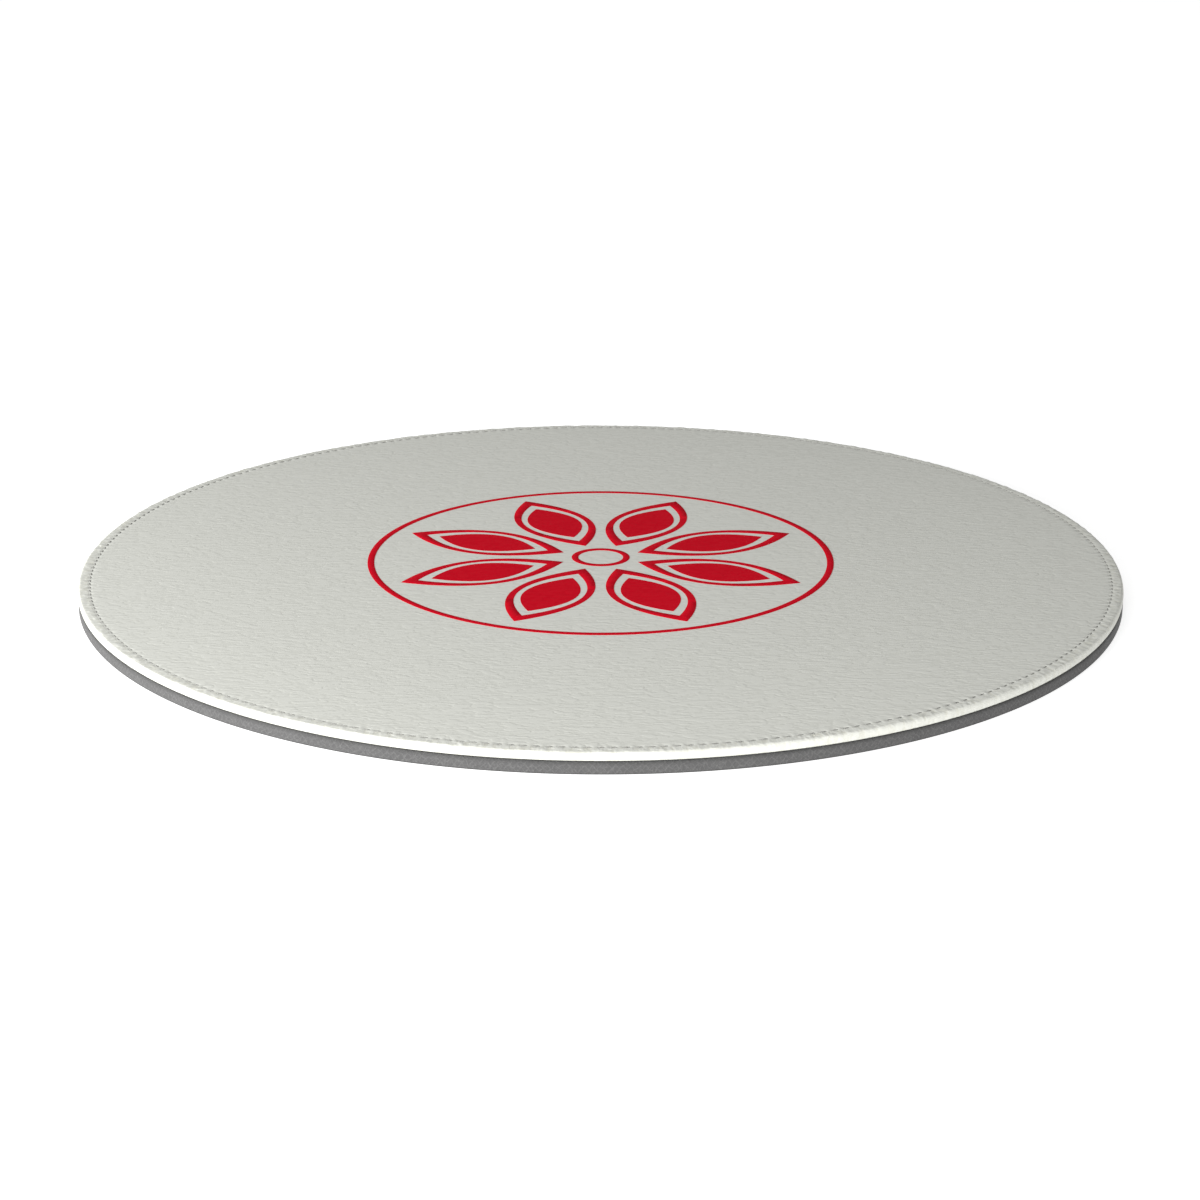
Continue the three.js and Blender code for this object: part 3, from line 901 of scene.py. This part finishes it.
def makeFoam():
    material, tree, shader, spot = newMaterial("foam", Roughness=0.95, Specular_IOR_Level=0.1)
    cells = addNode(tree, "ShaderNodeTexVoronoi", Vector=spot, Scale=foam["cellsPerMetre"])
    patternBy(tree, shader, foam, cells.outputs["Distance"])
    return material


foamPad = grow("foamPad", sectionMesh("foamSection", foamSection(), False), plainTree,
               {"Segments": foam["segments"]}, makeFoam(), sharpAngle=60)
print("mat and foam done")


# Printed rosette: rings, petal outlines and solid leaves of thin film, each with a softened edge

rosette = {
    "line": 1.5 * mm,
    "gap": 1.2 * mm,
    "petals": 8,
    "petalStart": 9 * mm,
    "petalEnd": 47 * mm,
    "petalHalfWidth": 8.6 * mm,
    "tipShare": 2.6,  # how far an inset moves a leaf's tips, against its sides
    "heightShare": 1 / 3,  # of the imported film, which is thicker than the real one
    "softEdge": 0.02 * mm,
    "curveSteps": 28,
    "outerSegments": 360,
    "hubSegments": 120,
    "colour": (0.53, 0.003, 0.014, 1),
    # painted shade: the film is coloured darker in the grain's creases
    "creaseShadeColour": (0.41, 0.002, 0.01, 1),
    "creaseShadeShare": 0.2,
    "mottleColour": (0.58, 0.01, 0.02, 1),
    "mottleShare": 0.1,
    "roughness": 0.6,
    "creaseRoughness": 0.1,
    "grainStrength": 0.6,  # of the leather's grain, which shows through the film
}
filmTop = topZ + (outerRingHigh.z - topZ) * rosette["heightShare"]


def filmSection(outer):
    inner, soft = outer - rosette["line"], rosette["softEdge"]
    return [
        (outer, topZ),
        (outer, filmTop - soft),
        (outer - soft / 2, filmTop - soft / 4),
        (outer - soft, filmTop),
        (inner + soft, filmTop),
        (inner + soft / 2, filmTop - soft / 4),
        (inner, filmTop - soft),
        (inner, topZ),
    ]


# A pointed leaf along X, one curve on each side, drawn inside the petal's edge by an inset
def leafLoop(inset, height):
    start = rosette["petalStart"] + inset * rosette["tipShare"]
    end = rosette["petalEnd"] - inset * rosette["tipShare"]
    bow = rosette["petalHalfWidth"] - inset
    steps = rosette["curveSteps"]
    loop = []
    for side in (-1, 1):
        for step in range(steps):
            share = step / steps if side < 0 else 1 - step / steps
            bulge = 4 * share * (1 - share)  # 0 at the tips, 1 halfway
            loop.append((start + (end - start) * share, side * bow * bulge, height))
    return loop


def loftMesh(name, loops, capped):
    size = len(loops[0])
    points = [point for loop in loops for point in loop]
    faces = []
    spans = len(loops) - 1 if capped else len(loops)
    for level in range(spans):
        here, following = level * size, (level + 1) % len(loops) * size
        for place in range(size):
            after = (place + 1) % size
            faces.append((here + place, here + after, following + after, following + place))
    if capped:
        faces.append(tuple(range(size)))
        faces.append(tuple(reversed(range(len(points) - size, len(points)))))
    return meshFrom(name, points, faces)


def petalMesh():
    line, soft = rosette["line"], rosette["softEdge"]
    return loftMesh("petal", [
        leafLoop(0, topZ), leafLoop(0, filmTop - soft), leafLoop(soft, filmTop),
        leafLoop(line - soft, filmTop), leafLoop(line, filmTop - soft), leafLoop(line, topZ),
    ], False)


def leafMesh():
    inset, soft = rosette["line"] + rosette["gap"], rosette["softEdge"]
    return loftMesh("leaf", [
        leafLoop(inset, topZ), leafLoop(inset, filmTop - soft), leafLoop(inset + soft, filmTop),
    ], True)


def makeFilm():
    material, tree, shader, spot = newMaterial("printFilm", Specular_IOR_Level=0.01)
    grain = useGroup(tree, grainGroup, Vector=spot)
    colourBy(tree, shader, rosette, {"creaseShade": grain["Crease"], "mottle": grain["Mottle"]})
    creased = product(tree, grain["Crease"], rosette["creaseRoughness"])
    tree.links.new(calc(tree, "ADD", rosette["roughness"], creased), shader.inputs["Roughness"])
    addBump(tree, shader, grain["Height"], cover["grainDepth"], rosette["grainStrength"])
    return material


printFilm = makeFilm()
petalPlaces = {"Count": rosette["petals"], "First Turn": math.pi / rosette["petals"]}
petalOutlines = grow("petalOutlines", petalMesh(), axisTree, petalPlaces, printFilm)
petalLeaves = grow("petalLeaves", leafMesh(), axisTree, petalPlaces, printFilm)
outerRing = grow("outerRing", sectionMesh("outerRingSection", filmSection(outerRingHigh.x), True), plainTree,
                 {"Segments": rosette["outerSegments"]}, printFilm)
hubRing = grow("hubRing", sectionMesh("hubRingSection", filmSection(hubRingHigh.x), True), plainTree,
               {"Segments": rosette["hubSegments"]}, printFilm)
print("rosette done")


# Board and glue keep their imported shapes

board = {
    "fibresPerMetre": 900.0,
    "fibreBend": 1.5,
    "bumpDepth": 0.05 * mm,
    "roughness": 0.9,
    "lowColour": (0.26, 0.19, 0.12, 1),
    "highColour": (0.42, 0.33, 0.22, 1),
}
glue = {
    "streaksPerMetre": 220.0,
    "streakBend": 2.0,
    "bumpDepth": 0.03 * mm,
    "roughness": 0.3,
    "streakRoughness": 0.3,
    "lowColour": (0.10, 0.095, 0.08, 1),
    "highColour": (0.20, 0.19, 0.16, 1),
}


def makeBoard():
    material, tree, shader, spot = newMaterial("fibreBoard", Roughness=board["roughness"],
                                               Specular_IOR_Level=0.2)
    fibres = noise(tree, spot, board["fibresPerMetre"], detail=6.0, Distortion=board["fibreBend"])
    patternBy(tree, shader, board, fibres)
    return material


def makeGlue():
    material, tree, shader, spot = newMaterial("glue", Specular_IOR_Level=0.5)
    streaks = noise(tree, spot, glue["streaksPerMetre"], detail=4.0, Distortion=glue["streakBend"])
    patternBy(tree, shader, glue, streaks)
    rough = calc(tree, "ADD", glue["roughness"], product(tree, streaks, glue["streakRoughness"]))
    tree.links.new(rough, shader.inputs["Roughness"])
    return material


for nodeName, material in (("stiffener_board", makeBoard()), ("bonding_film", makeGlue())):
    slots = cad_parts[nodeName].data.materials
    slots.clear()
    slots.append(material)


# What each piece rides on, stands for and is finished with

petalNumbers = range(1, rosette["petals"] + 1)
pieces = [
    (leatherCover, "cover_leather", ["leather_cover"]),
    (needleThread, "needle_yarn", ["needle_thread"]),
    (bobbinThread, "bobbin_yarn", ["bobbin_thread"]),
    (baseMat, "mat_rubber", ["base_mat"]),
    (foamPad, "foam", ["foam_pad"]),
    (petalOutlines, "print_film", [f"print_petal_{number}" for number in petalNumbers]),
    (petalLeaves, "print_film", [f"print_petal_core_{number}" for number in petalNumbers]),
    (outerRing, "print_film", ["print_outer_ring"]),
    (hubRing, "print_film", ["print_hub_ring"]),
]
for piece, slotName, nodeNames in pieces:
    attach(piece, "root")
    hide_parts(*nodeNames)

print("pieces placed:", len(pieces))
